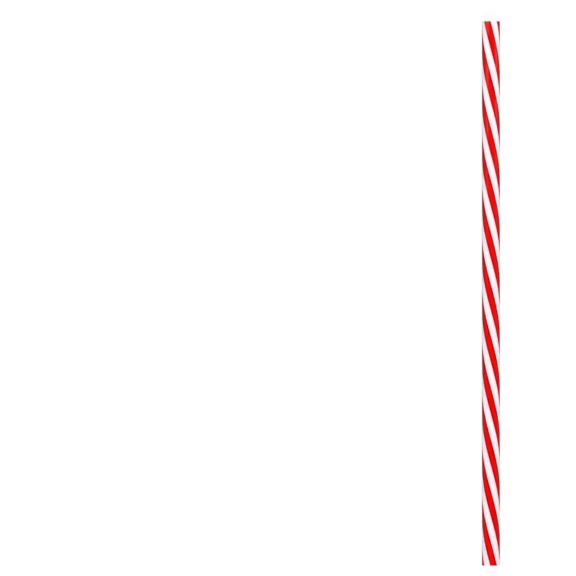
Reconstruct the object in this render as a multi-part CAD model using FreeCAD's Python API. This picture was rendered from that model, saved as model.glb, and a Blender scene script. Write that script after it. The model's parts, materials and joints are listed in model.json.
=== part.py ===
import FreeCAD, Part
import math
import os

# A reusable drinking straw: one hard plastic tube, extruded in one piece and cut square at both ends.
# Its two colours of plastic run side by side through the same wall, so the tube is a single solid.
#
# Frame, in millimetres: the straw lies on its side, with its axis along Y, level with the ground
# plane Z = 0 that it touches. The origin is on that plane, under the middle of the straw.

# Driving dimensions
LENGTH = 230.0  # from rim to rim
OUTER_DIAMETER = 7.6
WALL = 0.9  # thickness of the tube's wall
OUTER_RIM_RADIUS = 0.20  # the rims' edges, dulled by the cut and the polish
INNER_RIM_RADIUS = 0.12

# A rounded edge takes at most this share of the wall, so that a flat land is left on the rim.
MOST_OF_WALL = 0.45

OUTER_RADIUS = OUTER_DIAMETER / 2
BORE_RADIUS = OUTER_RADIUS - WALL


def edge_radius(wanted):
    """The radius of a rim's edge, no more than its share of the wall."""
    return min(wanted, MOST_OF_WALL * WALL)


def corner_arc(corner_radius, corner_height, radius, out, up):
    """A quarter round in the wall's section, where a wall line meets a rim.

    The section lies in the plane X = distance from the axis, Y = place along the straw. The corner
    would be at (corner_radius, corner_height); out is +1 where the wall lies inside the corner, on
    the outer edge, and -1 on the bore's edge; up is +1 on the far rim and -1 on the near rim.
    """
    centre_x = corner_radius - out * radius
    centre_y = corner_height - up * radius
    on_wall = FreeCAD.Vector(corner_radius, centre_y, 0)
    on_rim = FreeCAD.Vector(centre_x, corner_height, 0)
    lean = radius * math.cos(math.pi / 4)
    middle = FreeCAD.Vector(centre_x + out * lean, centre_y + up * lean, 0)
    return on_wall, middle, on_rim


def wall_section():
    """The wall cut along the axis: a long rectangle with its four corners rounded."""
    far = LENGTH / 2
    near = -LENGTH / 2
    outer = edge_radius(OUTER_RIM_RADIUS)
    inner = edge_radius(INNER_RIM_RADIUS)

    outer_far = corner_arc(OUTER_RADIUS, far, outer, 1, 1)
    inner_far = corner_arc(BORE_RADIUS, far, inner, -1, 1)
    inner_near = corner_arc(BORE_RADIUS, near, inner, -1, -1)
    outer_near = corner_arc(OUTER_RADIUS, near, outer, 1, -1)

    edges = [
        Part.Arc(*outer_far).toShape(),
        Part.LineSegment(outer_far[2], inner_far[2]).toShape(),
        Part.Arc(*reversed(inner_far)).toShape(),
        Part.LineSegment(inner_far[0], inner_near[0]).toShape(),
        Part.Arc(*inner_near).toShape(),
        Part.LineSegment(inner_near[2], outer_near[2]).toShape(),
        Part.Arc(*reversed(outer_near)).toShape(),
        Part.LineSegment(outer_near[0], outer_far[0]).toShape(),
    ]
    return Part.Face(Part.Wire(edges))


def straw_tube():
    """The whole straw: its wall turned about the axis, then raised to lie on the ground plane."""
    axis = FreeCAD.Vector(0, 1, 0)
    tube = wall_section().revolve(FreeCAD.Vector(0, 0, 0), axis, 360)
    tube.translate(FreeCAD.Vector(0, 0, OUTER_RADIUS))
    return tube


def write(name, shape):
    """Write one piece to its own STEP file, and say how large it is."""
    assert shape.isValid() and len(shape.Solids) == 1, name + " isn't one sound solid"
    shape.exportStep("parts/" + name + ".step")
    box = shape.optimalBoundingBox(False)
    print(
        name,
        f"x {box.XMin:.3f} to {box.XMax:.3f}",
        f"y {box.YMin:.3f} to {box.YMax:.3f}",
        f"z {box.ZMin:.3f} to {box.ZMax:.3f}",
        f"volume {shape.Volume:.2f} mm3",
    )


os.makedirs("parts", exist_ok=True)
write("straw_tube", straw_tube())
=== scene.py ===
"""A reusable drinking straw in red and white plastic, lying on a pale studio floor.

The tube is one wall of two plastics that were extruded side by side and twisted as they left the
die. Here each colour is one piece: four closed bars that wind round the bore and meet the other
colour's bars at welds. Lengths are in metres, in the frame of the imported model: the straw lies along
Y on the plane Z = 0. An angle round the tube is 0 at the top and grows towards +X.
"""

import json
import logging
import math
from dataclasses import dataclass
from enum import Enum
from typing import Callable

import bpy
import numpy as np
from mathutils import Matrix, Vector

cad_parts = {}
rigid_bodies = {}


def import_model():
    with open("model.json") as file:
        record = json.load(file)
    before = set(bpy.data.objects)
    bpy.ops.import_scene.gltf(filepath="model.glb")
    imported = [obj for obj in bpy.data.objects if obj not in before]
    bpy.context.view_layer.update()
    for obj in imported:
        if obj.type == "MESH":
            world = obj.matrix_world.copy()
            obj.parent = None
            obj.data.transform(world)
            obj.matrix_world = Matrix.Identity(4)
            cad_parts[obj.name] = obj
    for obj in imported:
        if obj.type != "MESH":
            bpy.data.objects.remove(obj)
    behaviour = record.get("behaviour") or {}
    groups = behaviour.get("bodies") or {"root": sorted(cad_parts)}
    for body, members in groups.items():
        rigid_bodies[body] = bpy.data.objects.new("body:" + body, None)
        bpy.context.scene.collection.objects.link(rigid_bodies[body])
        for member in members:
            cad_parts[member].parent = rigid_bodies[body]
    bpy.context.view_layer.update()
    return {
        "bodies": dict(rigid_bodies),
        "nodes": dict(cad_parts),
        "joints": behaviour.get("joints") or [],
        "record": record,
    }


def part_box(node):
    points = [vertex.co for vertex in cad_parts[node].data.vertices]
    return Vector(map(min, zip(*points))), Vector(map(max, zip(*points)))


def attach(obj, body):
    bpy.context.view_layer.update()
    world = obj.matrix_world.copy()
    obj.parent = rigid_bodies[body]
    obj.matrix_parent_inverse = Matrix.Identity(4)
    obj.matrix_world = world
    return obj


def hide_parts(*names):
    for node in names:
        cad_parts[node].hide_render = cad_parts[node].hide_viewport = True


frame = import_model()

log = logging.getLogger("straw")

MM = 0.001
TEXTURE_MAP = "OFBake"  # the name of the straw's own texture map

# What the mesh tells the finishes at each of its points
FLOW = "flow"  # the place on the tube with its twist taken out
FROM_WELD = "from_weld"  # metres to the nearest weld, along the surface
FROM_RIM = "from_rim"  # metres to the nearest end

Corner = tuple[int, int]  # a column of a bar and a point of its profile
Faces = list[list[Corner]]
Colour = tuple[float, float, float]
Given = dict[str, bpy.types.NodeSocket]


class Plastic(Enum):
    """The two plastics of the wall."""

    RED = "red"
    WHITE = "white"


# ---------------------------------------------------------------- the tube's shape


@dataclass(frozen=True)
class Tube:
    """The tube's own sizes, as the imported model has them, and the faint unevenness of its outside."""

    length: float
    outer_radius: float
    bore_radius: float
    axis_height: float
    outer_rim_radius: float = 0.20 * MM
    inner_rim_radius: float = 0.12 * MM
    ripple: float = 0.005 * MM  # how far the draw makes the outside wander
    groove: float = 0.012 * MM  # depth of the weld lines
    groove_reach: float = 0.11 * MM
    groove_sharpness: float = 1.5
    waves: tuple[float, float, float] = (11.3 * MM, 5.9 * MM, 29.0 * MM)  # lengths of the ripple's waves
    second_wave: float = 0.7  # heights beside the first wave's
    third_wave: float = 0.5

    @classmethod
    def from_frame(cls, packed: dict) -> "Tube":
        """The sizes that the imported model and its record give.


        Returns:
            The tube.
        """
        low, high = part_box("straw_tube")
        mounts = {mount["name"]: mount for mount in packed["record"]["mounts"]}
        return cls(
            length=high.y - low.y,
            outer_radius=(high.z - low.z) / 2,
            bore_radius=mounts["bore"]["dims"]["r_mm"] * MM,
            axis_height=(high.z + low.z) / 2,
        )

    def relief(self, turned: np.ndarray, along: np.ndarray, from_weld: np.ndarray) -> np.ndarray:
        """How far the outside lies below its full radius.

        Args:
            turned: angles round the tube with the twist taken out, in radians.
            along: places along the tube.
            from_weld: distances to the nearest weld.

        Returns:
            Depths, never below 0.
        """
        first, second, third = (along / length * math.tau for length in self.waves)
        first_start, second_start = 1.1, 0.8
        second_sway, third_turns = 2.0, 3.0
        wander = (
            np.sin(first + first_start + np.sin(turned))
            + self.second_wave * np.sin(second + second_sway * np.sin(turned + second_start))
            + self.third_wave * np.sin(third + third_turns * turned)
        )
        highest = 1.0 + self.second_wave + self.third_wave
        nearness = np.clip(1.0 - from_weld / self.groove_reach, 0.0, 1.0)
        dip = self.groove * nearness**self.groove_sharpness
        return self.ripple * (0.5 + wander / (2 * highest)) + dip


@dataclass(frozen=True)
class Twist:
    """How the stripes wind round the tube, as left-handed helices."""

    half_length: float
    pairs: int = 4  # red and white stripes side by side
    red_share: float = 0.52  # of a pair's width
    lead: float = 87.6 * MM  # length of one full turn
    start: float = math.radians(-9.2)  # the middle of a red stripe, halfway along the straw
    drift: float = math.radians(3.9)  # what the ends gain on an even helix

    def width(self, plastic: Plastic) -> float:
        """The angle that one stripe of this plastic takes."""
        share = self.red_share if plastic is Plastic.RED else 1.0 - self.red_share
        return math.tau / self.pairs * share

    def first_edge(self, number: int, plastic: Plastic) -> float:
        """Where a stripe starts, from the middle of the first red one.

        Args:
            number: which of the plastic's stripes, from 0.
            plastic: which plastic.

        Returns:
            An angle in radians.
        """
        side = -1 if plastic is Plastic.RED else 1
        return math.tau / self.pairs * number + side * self.width(Plastic.RED) / 2

    def angle(self, along: np.ndarray) -> np.ndarray:
        """Where the middle of the first red stripe stands.

        Args:
            along: places along the tube.

        Returns:
            Angles in radians.
        """
        return self.start - math.tau * along / self.lead + self.drift * (along / self.half_length) ** 2


@dataclass
class StripeBars:
    """The four bars of one plastic: each a closed length of wall between two welds."""

    tube: Tube
    twist: Twist
    plastic: Plastic
    rows: int = 252
    edge_steps: tuple[float, ...] = (0.0, 0.05 * MM, 0.11 * MM, 0.21 * MM)  # columns beside a weld
    inner_columns: int = 9
    round_steps: int = 4
    lengths_in_map: int = 3  # the texture map lays the straw out in this many lengths
    map_gap: float = 0.3 * MM  # between its strips
    weld_share_of_map: float = 0.25  # how wide it lays out the weld's faces
    weld_height_in_map: float = 0.99
    sharp_edge: float = math.radians(40)  # folds above this aren't smoothed

    @property
    def name(self) -> str:
        """The piece's name."""
        return f"{self.plastic.value}_stripes"

    def columns(self) -> np.ndarray:
        """Where a bar's columns stand, closer together beside the welds.

        Returns:
            Angles from the bar's first weld to its second.
        """
        radius, width = self.tube.outer_radius, self.twist.width(self.plastic)
        edge = np.array(self.edge_steps) / radius
        middle = np.linspace(edge[-1], width - edge[-1], self.inner_columns + 1)
        return np.concatenate([edge[:-1], middle, width - edge[-2::-1]])

    def profile(self) -> tuple[np.ndarray, np.ndarray, int]:
        """The wall cut along the axis, as one closed line.

        Returns:
            The radii and the places along the tube, and how many points go round one end.
        """
        tube, end = self.tube, self.tube.length / 2
        outer_end, inner_end = end - tube.outer_rim_radius, end - tube.inner_rim_radius
        quarter = np.linspace(0.0, math.pi / 2, self.round_steps + 1)[1:]
        outer_round = tube.outer_radius - tube.outer_rim_radius * (1 - np.cos(quarter))
        outer_place = outer_end + tube.outer_rim_radius * np.sin(quarter)
        inner_round = tube.bore_radius + tube.inner_rim_radius * (1 - np.cos(quarter))[::-1]
        inner_place = inner_end + tube.inner_rim_radius * np.sin(quarter)[::-1]
        rows = np.linspace(-1.0, 1.0, self.rows + 1)
        land = (tube.outer_radius + tube.bore_radius) / 2
        round_radii = np.concatenate([outer_round, [land], inner_round])
        round_places = np.concatenate([outer_place, [end], inner_place])
        radii = np.concatenate([
            np.full(rows.size, tube.outer_radius),
            round_radii,
            np.full(rows.size, tube.bore_radius),
            round_radii[::-1],
        ])
        places = np.concatenate([
            rows * outer_end,
            round_places,
            rows[::-1] * inner_end,
            -round_places[::-1],
        ])
        return radii, places, round_radii.size

    def bar(self, number: int) -> dict[str, np.ndarray]:
        """One bar's points, with what the finishes read there.

        Args:
            number: which of the plastic's bars, from 0.

        Returns:
            Arrays by name, each with a row for every column and an entry for every profile point.
        """
        tube, width = self.tube, self.twist.width(self.plastic)
        radii, places, _ = self.profile()
        columns = self.columns()
        first = self.twist.first_edge(number, self.plastic)
        turned, along = np.meshgrid(first + columns, places, indexing="ij")
        radius = np.broadcast_to(radii, turned.shape)
        from_edge = np.minimum(columns, width - columns)[:, None] * tube.outer_radius
        from_weld = np.broadcast_to(from_edge, turned.shape)
        outside = (radius - tube.bore_radius) / (tube.outer_radius - tube.bore_radius)
        radius = radius - outside * tube.relief(turned, along, from_weld)
        angle = turned + self.twist.angle(along)
        points = np.stack(
            [radius * np.sin(angle), along, tube.axis_height + radius * np.cos(angle)], axis=-1
        )
        flow = np.stack([radius * np.sin(turned), along, radius * np.cos(turned)], axis=-1)
        from_rim = tube.length / 2 - np.abs(along)
        return {"points": points, FLOW: flow, FROM_WELD: from_weld, FROM_RIM: from_rim}

    def faces(self) -> tuple[Faces, Faces]:
        """One bar's faces, turned outwards, as the columns and profile points of their corners.

        Returns:
            The faces that show, and those that lie on a weld.
        """
        radii, _, round_points = self.profile()
        ring, last = radii.size, self.columns().size - 1
        shown = [
            [(column, k), (column + 1, k), (column + 1, k + 1), (column, k + 1)]
            for column in range(last)
            for k in range(ring)
        ]
        bore_start = self.rows + 1 + round_points
        bore_end = bore_start + self.rows
        section = [[row, row + 1, bore_end - row - 1, bore_end - row] for row in range(self.rows)]
        section.append(list(range(self.rows, bore_start + 1)))
        section.append(list(range(bore_end, ring + 1)))
        welded = [[(0, k) for k in face] for face in section]
        welded += [[(last, k) for k in reversed(face)] for face in section]
        return shown, welded

    def texture_places(self, shown: Faces, welded: Faces) -> np.ndarray:
        """Lays one bar out flat for the texture map, as straight strips side by side.

        The outside and the bore are each cut into a few lengths. The weld's faces lie inside the
        wall, so they get narrow strips.

        Args:
            shown: the bar's faces that show.
            welded: its faces on the welds.

        Returns:
            A place for each corner of each face, both ways from 0 to 1 for the whole bar.
        """
        tube, columns = self.tube, self.columns()
        radii, places, round_points = self.profile()
        steps = np.hypot(np.diff(radii, append=radii[0]), np.diff(places, append=places[0]))
        run = np.concatenate([[0.0], np.cumsum(steps)])
        parts = np.arange(self.lengths_in_map) * (self.rows // self.lengths_in_map)
        starts = np.concatenate([parts, parts + self.rows + 1 + round_points])
        reach = np.repeat([tube.outer_radius, tube.bore_radius], self.lengths_in_map)
        widths = reach * self.twist.width(self.plastic) + self.map_gap
        lefts = np.cumsum(widths) - widths + self.map_gap / 2
        height = np.diff(run[starts], append=run[-1]).max() + self.map_gap

        column, point = np.array(shown).reshape(-1, 2).T
        strip = np.repeat(np.searchsorted(starts, point[::4], side="right") - 1, 4)
        across = lefts[strip] + columns[column] * reach[strip]
        upward = run[point] - run[starts[strip]] + self.map_gap / 2

        column, point = np.array([corner for face in welded for corner in face]).T
        point = point % radii.size
        second = column > 0
        wall = tube.outer_radius - tube.bore_radius
        weld_width = wall * self.weld_share_of_map + self.map_gap
        depth = np.where(second, tube.outer_radius - radii[point], radii[point] - tube.bore_radius)
        weld_across = widths.sum() + self.map_gap / 2 + second * weld_width + depth * self.weld_share_of_map
        across = np.concatenate([across, weld_across])
        weld_upward = (0.5 + places[point] / tube.length * self.weld_height_in_map) * height
        upward = np.concatenate([upward, weld_upward])
        full_width = widths.sum() + 2 * weld_width
        return np.stack([across / full_width, upward / height], axis=-1)

    def build(self) -> bpy.types.Object:
        """The piece with all four bars, the points' values for the finishes and the texture map.

        Returns:
            The new object, linked to the scene.
        """
        bars = [self.bar(number) for number in range(self.twist.pairs)]
        points = np.concatenate([bar["points"].reshape(-1, 3) for bar in bars])
        ring, bar_size = bars[0][FROM_RIM].shape[1], bars[0][FROM_RIM].size
        shown, welded = self.faces()
        faces = [
            [number * bar_size + column * ring + k % ring for column, k in face]
            for number in range(self.twist.pairs)
            for face in shown + welded
        ]
        kinds = ([0] * len(shown) + [1] * len(welded)) * self.twist.pairs
        one = self.texture_places(shown, welded)
        pairs = self.twist.pairs
        flat = np.concatenate([(one + (number, 0.0)) / (pairs, 1.0) for number in range(pairs)])

        mesh = bpy.data.meshes.new(self.name)
        mesh.from_pydata(points.tolist(), [], faces)
        mesh.polygons.foreach_set("material_index", kinds)
        mesh.polygons.foreach_set("use_smooth", [True] * len(kinds))
        mesh.uv_layers.new(name=TEXTURE_MAP).uv.foreach_set("vector", flat.ravel())
        mesh.set_sharp_from_angle(angle=self.sharp_edge)
        for name in (FROM_WELD, FROM_RIM):
            values = np.concatenate([bar[name].ravel() for bar in bars])
            mesh.attributes.new(name, "FLOAT", "POINT").data.foreach_set("value", values)
        flow = np.concatenate([bar[FLOW].ravel() for bar in bars])
        mesh.attributes.new(FLOW, "FLOAT_VECTOR", "POINT").data.foreach_set("vector", flow)
        mesh.validate()
        piece = bpy.data.objects.new(self.name, mesh)
        bpy.context.scene.collection.objects.link(piece)
        return piece


# ---------------------------------------------------------------- node helpers


class Nodes:
    """Makes nodes in one tree and joins them, laid out in rows."""

    STEP_RIGHT, STEP_DOWN, IN_A_ROW = 200, -220, 12
    MIX_FACTOR, MIX_FIRST, MIX_SECOND, MIX_RESULT = 0, 6, 7, 2  # a Mix node's sockets for colours

    def __init__(self, tree: bpy.types.NodeTree) -> None:
        """Starts on an empty tree.

        Args:
            tree: the material's or the group's tree.
        """
        self.tree = tree
        self.count = 0

    def add(self, kind: str, inputs: dict | None = None, **settings: object) -> bpy.types.Node:
        """Adds a node.

        Args:
            kind: the node's type without its ShaderNode prefix, or the full type.
            inputs: values or sockets by input name or number.
            settings: the node's own properties.

        Returns:
            The node.
        """
        full = kind if kind.startswith(("ShaderNode", "NodeGroup")) else "ShaderNode" + kind
        node = self.tree.nodes.new(full)
        row, column = divmod(self.count, self.IN_A_ROW)
        node.location = (self.STEP_RIGHT * column, self.STEP_DOWN * row)
        self.count += 1
        for name, value in settings.items():
            setattr(node, name, value)
        for name, value in (inputs or {}).items():
            self.feed(node.inputs[name], value)
        return node

    def feed(self, socket: bpy.types.NodeSocket, value: object) -> None:
        """Links a socket, or sets its value.

        Args:
            socket: the input.
            value: an output socket, or a number or colour.
        """
        if isinstance(value, bpy.types.NodeSocket):
            self.tree.links.new(value, socket)
        elif isinstance(value, tuple) and len(value) == 3 and socket.type == "RGBA":
            socket.default_value = (*value, 1.0)
        else:
            socket.default_value = value

    def math(self, operation: str, *values: object, clamp: bool = False) -> bpy.types.NodeSocket:
        """A calculation with numbers.

        Args:
            operation: Blender's name for it.
            values: its numbers or sockets.
            clamp: keeps the result from 0 to 1.

        Returns:
            The result.
        """
        node = self.add("Math", dict(enumerate(values)), operation=operation, use_clamp=clamp)
        return node.outputs[0]

    def blend(self, factor: object, first: object, second: object) -> bpy.types.NodeSocket:
        """A colour between two, by the factor.

        Args:
            factor: 0 gives the first and 1 the second.
            first: a colour or socket.
            second: a colour or socket.

        Returns:
            The colour.
        """
        inputs = {self.MIX_FACTOR: factor, self.MIX_FIRST: first, self.MIX_SECOND: second}
        return self.add("Mix", inputs, data_type="RGBA").outputs[self.MIX_RESULT]

    def smooth(self, value: object, low: float, high: float) -> bpy.types.NodeSocket:
        """A soft step.

        Args:
            value: the number that rises.
            low: where the result leaves 0.
            high: where the result reaches 1.

        Returns:
            The step.
        """
        inputs = {0: value, 1: low, 2: high}
        return self.add("MapRange", inputs, interpolation_type="SMOOTHSTEP").outputs[0]

    def scaled(self, vector: object, x: float = 1.0, y: float = 1.0) -> bpy.types.NodeSocket:
        """A place with its X or Y scaled, so that a pattern on it is drawn out that way below 1.

        Args:
            vector: the place.
            x: the scale of X.
            y: the scale of Y, along the straw.

        Returns:
            The place.
        """
        return self.add("VectorMath", {0: vector, 1: (x, y, 1.0)}, operation="MULTIPLY").outputs[0]

    def noise(self, vector: object, scale: object, detail: float) -> bpy.types.NodeSocket:
        """A noise pattern.

        Args:
            vector: the place.
            scale: how fine it is, about in waves to a metre.
            detail: how many finer layers it has.

        Returns:
            Its height.
        """
        return self.add("TexNoise", {"Vector": vector, "Scale": scale, "Detail": detail}).outputs[0]

    @classmethod
    def material(cls, name: str) -> tuple[bpy.types.Material, "Nodes"]:
        """A new material with an empty tree.

        Args:
            name: the material's name.

        Returns:
            The material and its helper.
        """
        made = bpy.data.materials.new(name)
        made.use_nodes = True
        made.node_tree.nodes.clear()
        return made, cls(made.node_tree)


@dataclass(frozen=True)
class Effect:
    """A surface effect that both plastics use, kept as one node group."""

    name: str
    inputs: tuple[tuple[str, str], ...]
    outputs: tuple[tuple[str, str], ...]
    fill: Callable[[Nodes, Given], Given]

    def tree(self) -> bpy.types.NodeTree:
        """The group, made when it is first asked for.

        Returns:
            The group's tree.
        """
        made = bpy.data.node_groups.get(self.name)
        if made is not None:
            return made
        made = bpy.data.node_groups.new(self.name, "ShaderNodeTree")
        for way, sockets in (("INPUT", self.inputs), ("OUTPUT", self.outputs)):
            for name, kind in sockets:
                made.interface.new_socket(name, in_out=way, socket_type="NodeSocket" + kind)
        nodes = Nodes(made)
        entry = nodes.add("NodeGroupInput")
        results = self.fill(nodes, {socket.name: socket for socket in entry.outputs if socket.name})
        nodes.add("NodeGroupOutput", results)
        return made

    def place(self, nodes: Nodes, **values: object) -> Given:
        """Puts the group into a tree.

        Args:
            nodes: the tree's helper.
            values: the inputs, by name with _ for a space.

        Returns:
            The outputs by name.
        """
        node = nodes.add("Group", node_tree=self.tree())
        for name, value in values.items():
            nodes.feed(node.inputs[name.replace("_", " ")], value)
        return {socket.name: socket for socket in node.outputs}


def fill_draw_lines(nodes: Nodes, given: Given) -> Given:
    """Fine lines that the die draws along the plastic, far longer than they are wide.

    Args:
        nodes: the group's helper.
        given: Flow and Across, how many lines go to a metre.

    Returns:
        Height from 0 to 1.
    """
    fine_ratio, fine_share = 3.1, 0.4
    place = nodes.scaled(given["Flow"], y=0.012)
    coarse = nodes.noise(place, scale=given["Across"], detail=2.0)
    finer = nodes.math("MULTIPLY", given["Across"], fine_ratio)
    fine = nodes.noise(place, scale=finer, detail=1.0)
    both = nodes.math("MULTIPLY_ADD", fine, fine_share, coarse)
    return {"Height": nodes.math("DIVIDE", both, 1.0 + fine_share)}


def fill_pigment_and_shade(nodes: Nodes, given: Given) -> Given:
    """Colour that is a little thicker in some places, in clouds drawn out along the stripe.

    It also darkens along the straw towards the foot, as painted shade.

    Args:
        nodes: the group's helper.
        given: Flow, Length in metres, Contrast, and the colours: Full at the far end, Foot at the
        near end, darker with painted shade, and Thin in the clouds.

    Returns:
        The Colour, and Near Foot, which is 1 at the foot and falls to 0 at the far end.
    """
    streak_share, foot_bend = 0.45, 2.0
    broad = nodes.noise(nodes.scaled(given["Flow"], y=0.22), scale=420.0, detail=3.0)
    streak = nodes.noise(nodes.scaled(given["Flow"], y=0.03), scale=1500.0, detail=2.0)
    cloud = nodes.smooth(nodes.math("MULTIPLY_ADD", streak, streak_share, broad), low=0.45, high=1.0)
    share = nodes.math("MULTIPLY", cloud, given["Contrast"], clamp=True)
    along = nodes.add("SeparateXYZ", {0: given["Flow"]}).outputs["Y"]
    to_foot = nodes.math("SUBTRACT", 0.5, nodes.math("DIVIDE", along, given["Length"]), clamp=True)
    near_foot = nodes.math("POWER", to_foot, foot_bend)
    shaded_towards_foot = nodes.blend(near_foot, given["Full"], given["Foot"])
    return {"Colour": nodes.blend(share, shaded_towards_foot, given["Thin"]), "Near Foot": near_foot}


def fill_weld(nodes: Nodes, given: Given) -> Given:
    """The band of changed colour beside a weld, whose width wavers along its length.

    Args:
        nodes: the group's helper.
        given: Flow, From Weld and Width in metres, and Core, what is left of the band on the weld.

    Returns:
        Line, 1 in the band and 0 away from it.
    """
    low, high = 0.3, 0.7
    narrowest, widest = 0.75, 1.25
    waver = nodes.noise(nodes.scaled(given["Flow"], y=0.5), scale=700.0, detail=2.0)
    share = nodes.add("MapRange", {0: waver, 1: low, 2: high, 3: narrowest, 4: widest})
    reach = nodes.math("MULTIPLY", given["Width"], share.outputs[0])
    near = nodes.math("DIVIDE", given["From Weld"], reach)
    band = nodes.math("SUBTRACT", 1.0, nodes.smooth(near, low=0.42, high=1.0))
    inside = nodes.math("SUBTRACT", 1.0, nodes.smooth(near, low=0.0, high=0.38))
    lost = nodes.math("MULTIPLY", inside, nodes.math("SUBTRACT", 1.0, given["Core"]))
    return {"Line": nodes.math("MULTIPLY", band, nodes.math("SUBTRACT", 1.0, lost))}


def fill_scuffs(nodes: Nodes, given: Given) -> Given:
    """Faint marks of washing and handling: dull patches with short fine scratches in them.

    Args:
        nodes: the group's helper.
        given: Flow.

    Returns:
        Dullness and Scratch, each from 0 to 1.
    """
    lean = 0.5
    dull = nodes.smooth(nodes.noise(given["Flow"], scale=160.0, detail=4.0), low=0.42, high=0.78)
    turned = nodes.add("VectorRotate", {"Vector": given["Flow"], "Angle": lean}, rotation_type="X_AXIS")
    hair = nodes.noise(nodes.scaled(turned.outputs[0], y=0.06), scale=5200.0, detail=1.0)
    line = nodes.smooth(hair, low=0.66, high=0.76)
    return {"Dullness": dull, "Scratch": nodes.math("MULTIPLY", line, dull)}


def fill_cut_end(nodes: Nodes, given: Given) -> Given:
    """The cut end: whitened and matt, with the knife's fine chatter, fading within a short way.

    Args:
        nodes: the group's helper.
        given: Flow, From Rim and Reach in metres.

    Returns:
        Cut, 1 on the end's face, and Chatter, the height of its marks.
    """
    near = nodes.math("DIVIDE", given["From Rim"], given["Reach"])
    cut = nodes.math("SUBTRACT", 1.0, nodes.smooth(near, low=0.1, high=1.0))
    marks = nodes.noise(nodes.scaled(given["Flow"], x=0.15), scale=9000.0, detail=2.0)
    return {"Cut": cut, "Chatter": nodes.math("MULTIPLY", marks, cut)}


DRAW_LINES = Effect(
    "draw_lines",
    (("Flow", "Vector"), ("Across", "Float")),
    (("Height", "Float"),),
    fill_draw_lines,
)
PIGMENT_AND_SHADE = Effect(
    "pigment",
    (
        ("Flow", "Vector"),
        ("Length", "Float"),
        ("Contrast", "Float"),
        ("Full", "Color"),
        ("Foot", "Color"),
        ("Thin", "Color"),
    ),
    (("Colour", "Color"), ("Near Foot", "Float")),
    fill_pigment_and_shade,
)
WELD = Effect(
    "weld_line",
    (("Flow", "Vector"), ("From Weld", "Float"), ("Width", "Float"), ("Core", "Float")),
    (("Line", "Float"),),
    fill_weld,
)
SCUFFS = Effect(
    "scuffs",
    (("Flow", "Vector"),),
    (("Dullness", "Float"), ("Scratch", "Float")),
    fill_scuffs,
)
CUT_END = Effect(
    "cut_end",
    (("Flow", "Vector"), ("From Rim", "Float"), ("Reach", "Float")),
    (("Cut", "Float"), ("Chatter", "Float")),
    fill_cut_end,
)


# ---------------------------------------------------------------- the finishes


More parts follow.
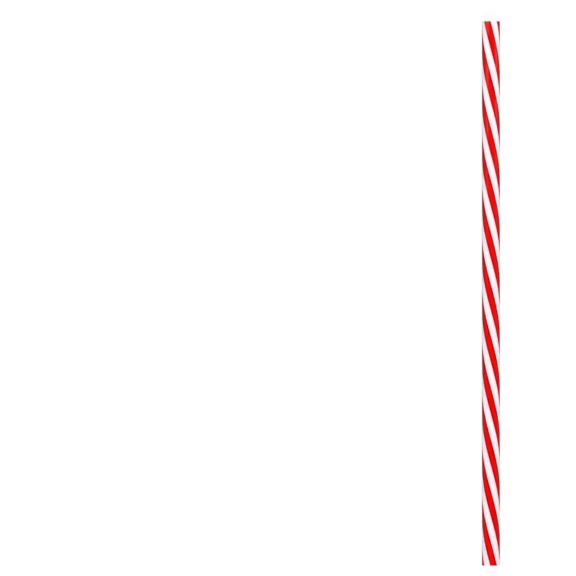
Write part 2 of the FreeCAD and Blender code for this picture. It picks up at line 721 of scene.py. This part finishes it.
@dataclass(frozen=True)
class StripeFinish:
    """One of the two plastics: its colours, how clear and how glossy it is, and its marks.

    The skin is a coat whose tint deepens the colour where the surface turns away, as a clear
    plastic does. The bloom is a sheen that keeps a milky plastic pale there.
    """

    name: str
    full: Colour  # at the far end
    foot: Colour  # at the foot, darker than the far end: painted shade
    thin: Colour  # in the clouds
    weld: Colour  # beside a weld
    cut: Colour  # on the cut ends
    weld_end_and_rim_shade: Colour  # where a weld comes out at an end, and the painted shade on the rim at the foot
    weld_strength: float
    weld_width: float
    weld_core: float
    clearness: float
    roughness: float
    ior: float = 1.49
    gloss: float = 0.5
    skin: float = 1.0
    skin_ior: float = 1.01
    skin_tint: Colour = (1.0, 1.0, 1.0)
    foot_rim_shade: float = 0.0  # how far the whole rim at the foot takes the weld end's colour, as painted shade
    bloom: float = 0.0
    bloom_roughness: float = 0.8
    contrast: float = 0.6
    lines_to_a_metre: float = 2600.0
    draw_depth: float = 0.0012 * MM
    scratch_depth: float = 0.0004 * MM
    chatter_depth: float = 0.003 * MM
    scuff_dulling: float = 0.08  # what each mark adds to the roughness
    cut_dulling: float = 0.25
    cut_paling: float = 0.7
    cut_reach: float = 0.25 * MM
    burn_and_shade_reach: float = 1.1 * MM
    weld_roughness: float = 0.6

    def pigment(self, nodes: Nodes, flow: bpy.types.NodeSocket, length: float) -> Given:
        """The plastic's colour, with painted shade that darkens it towards the foot.

        Args:
            nodes: the material's helper.
            flow: the place on the tube with its twist taken out.
            length: the straw's length.

        Returns:
            Colour, and Near Foot, which is 1 at the foot and falls to 0 at the far end.
        """
        return PIGMENT_AND_SHADE.place(
            nodes, Flow=flow, Length=length, Contrast=self.contrast,
            Full=self.full, Foot=self.foot, Thin=self.thin,
        )

    def material(self, length: float) -> bpy.types.Material:
        """The plastic where it shows.

        Args:
            length: the straw's length.

        Returns:
            The material.
        """
        made, nodes = Nodes.material(self.name)
        flow = nodes.add("Attribute", attribute_name=FLOW).outputs["Vector"]
        from_weld = nodes.add("Attribute", attribute_name=FROM_WELD).outputs["Fac"]
        from_rim = nodes.add("Attribute", attribute_name=FROM_RIM).outputs["Fac"]

        # the plastic's colour, with painted shade towards the foot
        pigment = self.pigment(nodes, flow, length)
        line = WELD.place(
            nodes, Flow=flow, From_Weld=from_weld, Width=self.weld_width, Core=self.weld_core
        )["Line"]
        draw = DRAW_LINES.place(nodes, Flow=flow, Across=self.lines_to_a_metre)["Height"]
        scuffs = SCUFFS.place(nodes, Flow=flow)
        end = CUT_END.place(nodes, Flow=flow, From_Rim=from_rim, Reach=self.cut_reach)
        # the reach of the dark weld ends and of the painted shade on the rim at the foot
        burn_and_shade = CUT_END.place(nodes, Flow=flow, From_Rim=from_rim, Reach=self.burn_and_shade_reach)

        welded = nodes.math("MULTIPLY", line, self.weld_strength)
        colour = nodes.blend(welded, pigment["Colour"], self.weld)
        colour = nodes.blend(nodes.math("MULTIPLY", end["Cut"], self.cut_paling), colour, self.cut)
        # painted shade: the whole rim at the foot darkens towards the weld end's colour
        foot_rim_shade = nodes.math("MULTIPLY", pigment["Near Foot"], self.foot_rim_shade)
        burnt_and_shaded = nodes.math("MAXIMUM", line, foot_rim_shade)
        # dark weld ends at the rims, and the painted shade on the rim at the foot
        colour = nodes.blend(nodes.math("MULTIPLY", burn_and_shade["Cut"], burnt_and_shaded), colour, self.weld_end_and_rim_shade)

        rough = nodes.math("MULTIPLY_ADD", scuffs["Dullness"], self.scuff_dulling, self.roughness)
        rough = nodes.math("MULTIPLY_ADD", scuffs["Scratch"], self.scuff_dulling, rough)
        rough = nodes.math("MULTIPLY_ADD", end["Cut"], self.cut_dulling, rough, clamp=True)

        height = nodes.math("MULTIPLY", draw, self.draw_depth)
        scratched = nodes.math("MULTIPLY", scuffs["Scratch"], self.scratch_depth)
        height = nodes.math("SUBTRACT", height, scratched)
        height = nodes.math("MULTIPLY_ADD", end["Chatter"], self.chatter_depth, height)
        bump = nodes.add("Bump", {"Strength": 1.0, "Distance": 1.0, "Height": height})

        shader = nodes.add("BsdfPrincipled", {
            "Base Color": colour,
            "Roughness": rough,
            "IOR": self.ior,
            "Specular IOR Level": self.gloss,
            "Coat Weight": self.skin,
            "Coat Roughness": self.roughness,
            "Coat IOR": self.skin_ior,
            "Coat Tint": self.skin_tint,
            "Transmission Weight": self.clearness,
            "Sheen Weight": self.bloom,
            "Sheen Roughness": self.bloom_roughness,
            "Sheen Tint": self.skin_tint,
            "Normal": bump.outputs[0],
        })
        nodes.add("OutputMaterial", {"Surface": shader.outputs[0]})
        return made

    def weld_material(self, length: float) -> bpy.types.Material:
        """The plastic inside the wall, where a bar meets its neighbour.

        Args:
            length: the straw's length.

        Returns:
            The material.
        """
        made, nodes = Nodes.material(f"{self.name}_weld")
        flow = nodes.add("Attribute", attribute_name=FLOW).outputs["Vector"]
        pigment = self.pigment(nodes, flow, length)
        inputs = {"Base Color": pigment["Colour"], "Roughness": self.weld_roughness}
        shader = nodes.add("BsdfPrincipled", inputs)
        nodes.add("OutputMaterial", {"Surface": shader.outputs[0]})
        return made


RED_PLASTIC = StripeFinish(
    name="red_plastic",
    full=(1.0, 0.003, 0.003),
    foot=(1.0, 0.001, 0.001),
    thin=(1.0, 0.010, 0.009),
    weld=(0.46, 0.004, 0.004),
    cut=(0.90, 0.09, 0.08),
    weld_end_and_rim_shade=(0.07, 0.004, 0.004),
    weld_strength=1.0,
    weld_width=1.0 * MM,
    weld_core=0.5,
    clearness=0.10,
    roughness=0.18,
    gloss=0.2,
    # the foot rim's darkening is painted shade
    foot_rim_shade=0.5,
    skin_tint=(0.76, 0.5, 0.5),
)
WHITE_PLASTIC = StripeFinish(
    name="white_plastic",
    full=(0.84, 0.835, 0.85),
    # the foot's greyer, pinker white is painted shade
    foot=(0.84, 0.732, 0.777),
    thin=(0.855, 0.843, 0.86),
    weld=(0.96, 0.50, 0.53),
    cut=(0.95, 0.93, 0.94),
    weld_end_and_rim_shade=(0.80, 0.62, 0.64),
    weld_strength=0.8,
    weld_width=0.6 * MM,
    weld_core=1.0,
    clearness=0.08,
    roughness=0.26,
    gloss=0.25,
    skin_tint=(1.0, 0.91, 0.93),
    bloom=1.0,
)


# ---------------------------------------------------------------- the studio


@dataclass(frozen=True)
class Studio:
    """A pale floor, a dim room, two soft lamps beyond the straw's ends and two panels beside it."""

    floor_size: float = 12.0
    floor_colour: float = 0.62
    floor_shade: float = 0.15  # its colour for what looks at it, which keeps the shadow
    floor_glow: float = 0.85  # what brings it to white there
    room: float = 0.12
    wall_foot: float = 0.1  # the height, as the sine of an elevation, to which the walls stay white
    wall_top: float = 0.85  # and that at which they have faded into the dim room
    lamp_distance: float = 1.5
    lamp_elevation: float = math.radians(48)
    lamp_size: tuple[float, float] = (1.3, 0.9)
    lamp_power: float = 20.0
    panel_distance: float = 0.9
    panel_size: tuple[float, float] = (0.6, 0.85)  # along the straw and across it
    panel_middle: float = 0.37  # the place on Y that a panel stands beside, beyond the straw's end
    panel_power: float = 7.0
    left_elevation: float = math.radians(38)  # how high each panel stands
    right_elevation: float = math.radians(17)

    def white_share(self, nodes: Nodes) -> bpy.types.NodeSocket:
        """Which rays see a white floor and white walls.

        Args:
            nodes: the tree's helper.

        Returns:
            1 for rays from the camera, a mirror or glass, and 0 for the rest.
        """
        path = nodes.add("LightPath")
        seen = nodes.math("MAXIMUM", path.outputs["Is Camera Ray"], path.outputs["Is Glossy Ray"])
        return nodes.math("MAXIMUM", seen, path.outputs["Is Transmission Ray"])

    def floor(self) -> bpy.types.Object:
        """The floor: it takes the shadow, and shows white.

        Returns:
            The floor.
        """
        half = self.floor_size / 2
        mesh = bpy.data.meshes.new("floor")
        corners = [(-half, -half, 0.0), (half, -half, 0.0), (half, half, 0.0), (-half, half, 0.0)]
        mesh.from_pydata(corners, [], [(0, 1, 2, 3)])
        made, nodes = Nodes.material("pale_floor")
        share = self.white_share(nodes)
        change = self.floor_shade - self.floor_colour
        shade = nodes.math("MULTIPLY_ADD", share, change, self.floor_colour)
        matt = nodes.add("BsdfDiffuse", {"Color": shade})
        glow = nodes.add("Emission", {"Strength": nodes.math("MULTIPLY", share, self.floor_glow)})
        shown = nodes.add("AddShader", {0: matt.outputs[0], 1: glow.outputs[0]})
        nodes.add("OutputMaterial", {"Surface": shown.outputs[0]})
        mesh.materials.append(made)
        floor = bpy.data.objects.new("floor", mesh)
        bpy.context.scene.collection.objects.link(floor)
        return floor

    def world(self) -> None:
        """The room: dim overhead, with walls that are white low down for what looks at them."""
        world = bpy.data.worlds.new("room")
        world.use_nodes = True
        world.node_tree.nodes.clear()
        nodes = Nodes(world.node_tree)
        place = nodes.add("TexCoord").outputs["Generated"]
        height = nodes.add("SeparateXYZ", {0: place}).outputs["Z"]
        low = nodes.math("SUBTRACT", 1.0, nodes.smooth(height, self.wall_foot, self.wall_top))
        share = nodes.math("MULTIPLY", low, self.white_share(nodes))
        strength = nodes.math("MULTIPLY_ADD", share, 1.0 - self.room, self.room)
        shader = nodes.add("Background", {"Color": (1.0, 1.0, 1.0), "Strength": strength})
        nodes.add("OutputWorld", {"Surface": shader.outputs[0]})
        bpy.context.scene.world = world

    def lamp(self, name: str, side: int) -> bpy.types.Object:
        """A soft lamp beyond one end of the straw, aimed at its middle.

        Args:
            name: the lamp's name.
            side: +1 or -1, the end of Y that it stands at.

        Returns:
            The lamp.
        """
        light = bpy.data.lights.new(name, "AREA")
        light.shape = "RECTANGLE"
        light.size, light.size_y = self.lamp_size
        light.energy = self.lamp_power
        lamp = bpy.data.objects.new(name, light)
        out = math.cos(self.lamp_elevation) * self.lamp_distance
        up = math.sin(self.lamp_elevation) * self.lamp_distance
        lamp.location = (0.0, side * out, up)
        lamp.rotation_euler = (-lamp.location).to_track_quat("-Z", "X").to_euler()
        lamp.visible_camera = False
        bpy.context.scene.collection.objects.link(lamp)
        return lamp

    def panel(self, name: str, side: int, elevation: float) -> bpy.types.Object:
        """A soft panel beside the far end of the straw, which shows in its gloss alone.

        Args:
            name: the panel's name.
            side: +1 or -1, the side of X that it stands on.
            elevation: how high it stands, as an angle.

        Returns:
            The panel.
        """
        light = bpy.data.lights.new(name, "AREA")
        light.shape = "ELLIPSE"
        light.size, light.size_y = self.panel_size
        light.energy = self.panel_power
        panel = bpy.data.objects.new(name, light)
        aside = Vector((side * math.cos(elevation), 0.0, math.sin(elevation))) * self.panel_distance
        panel.location = aside + Vector((0.0, self.panel_middle, 0.0))
        panel.rotation_euler = (-aside).to_track_quat("-Z", "Y").to_euler()
        panel.visible_camera = False
        panel.visible_diffuse = False
        panel.visible_transmission = False
        bpy.context.scene.collection.objects.link(panel)
        return panel

    def build(self) -> None:
        """Makes the floor, the room, the lamps and the panels."""
        self.floor()
        self.world()
        self.lamp("lamp_far", 1)
        self.lamp("lamp_near", -1)
        self.panel("panel_left", -1, self.left_elevation)
        self.panel("panel_right", 1, self.right_elevation)


@dataclass(frozen=True)
class Viewpoint:
    """The camera: far above, looking straight down, with the straw upright in its view."""

    tube: Tube
    straw_share: float = 0.9443  # the straw's length, as a share of the view's width
    aside: float = 0.3523  # how far right of the view's middle the straw stands, as such a share
    below: float = 0.0094  # how far below the view's middle it is
    lens: float = 400.0
    sensor: float = 36.0
    farthest: float = 100.0

    def build(self) -> bpy.types.Object:
        """Makes the camera and gives it to the scene.

        Returns:
            The camera.
        """
        camera = bpy.data.cameras.new("camera")
        camera.lens = self.lens
        camera.sensor_width = self.sensor
        width = self.tube.length / self.straw_share
        distance = width * self.lens / self.sensor
        camera.clip_end = self.farthest
        body = bpy.data.objects.new("camera", camera)
        body.location = (-self.aside * width, self.below * width, self.tube.axis_height + distance)
        bpy.context.scene.collection.objects.link(body)
        bpy.context.scene.camera = body
        return body


def main() -> None:
    """Builds the straw, the studio and the camera in order."""
    logging.basicConfig(level=logging.INFO, format="%(name)s: %(message)s")
    scene = bpy.context.scene
    scene.view_settings.view_transform = "Standard"
    tube = Tube.from_frame(frame)
    twist = Twist(half_length=tube.length / 2)
    for plastic, finish in ((Plastic.RED, RED_PLASTIC), (Plastic.WHITE, WHITE_PLASTIC)):
        piece = StripeBars(tube, twist, plastic).build()
        piece.data.materials.append(finish.material(tube.length))
        piece.data.materials.append(finish.weld_material(tube.length))
        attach(piece, "root")
        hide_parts("straw_tube")
        log.info("%s: %d faces", piece.name, len(piece.data.polygons))
    Studio().build()
    Viewpoint(tube).build()


if __name__ == "__main__":
    main()
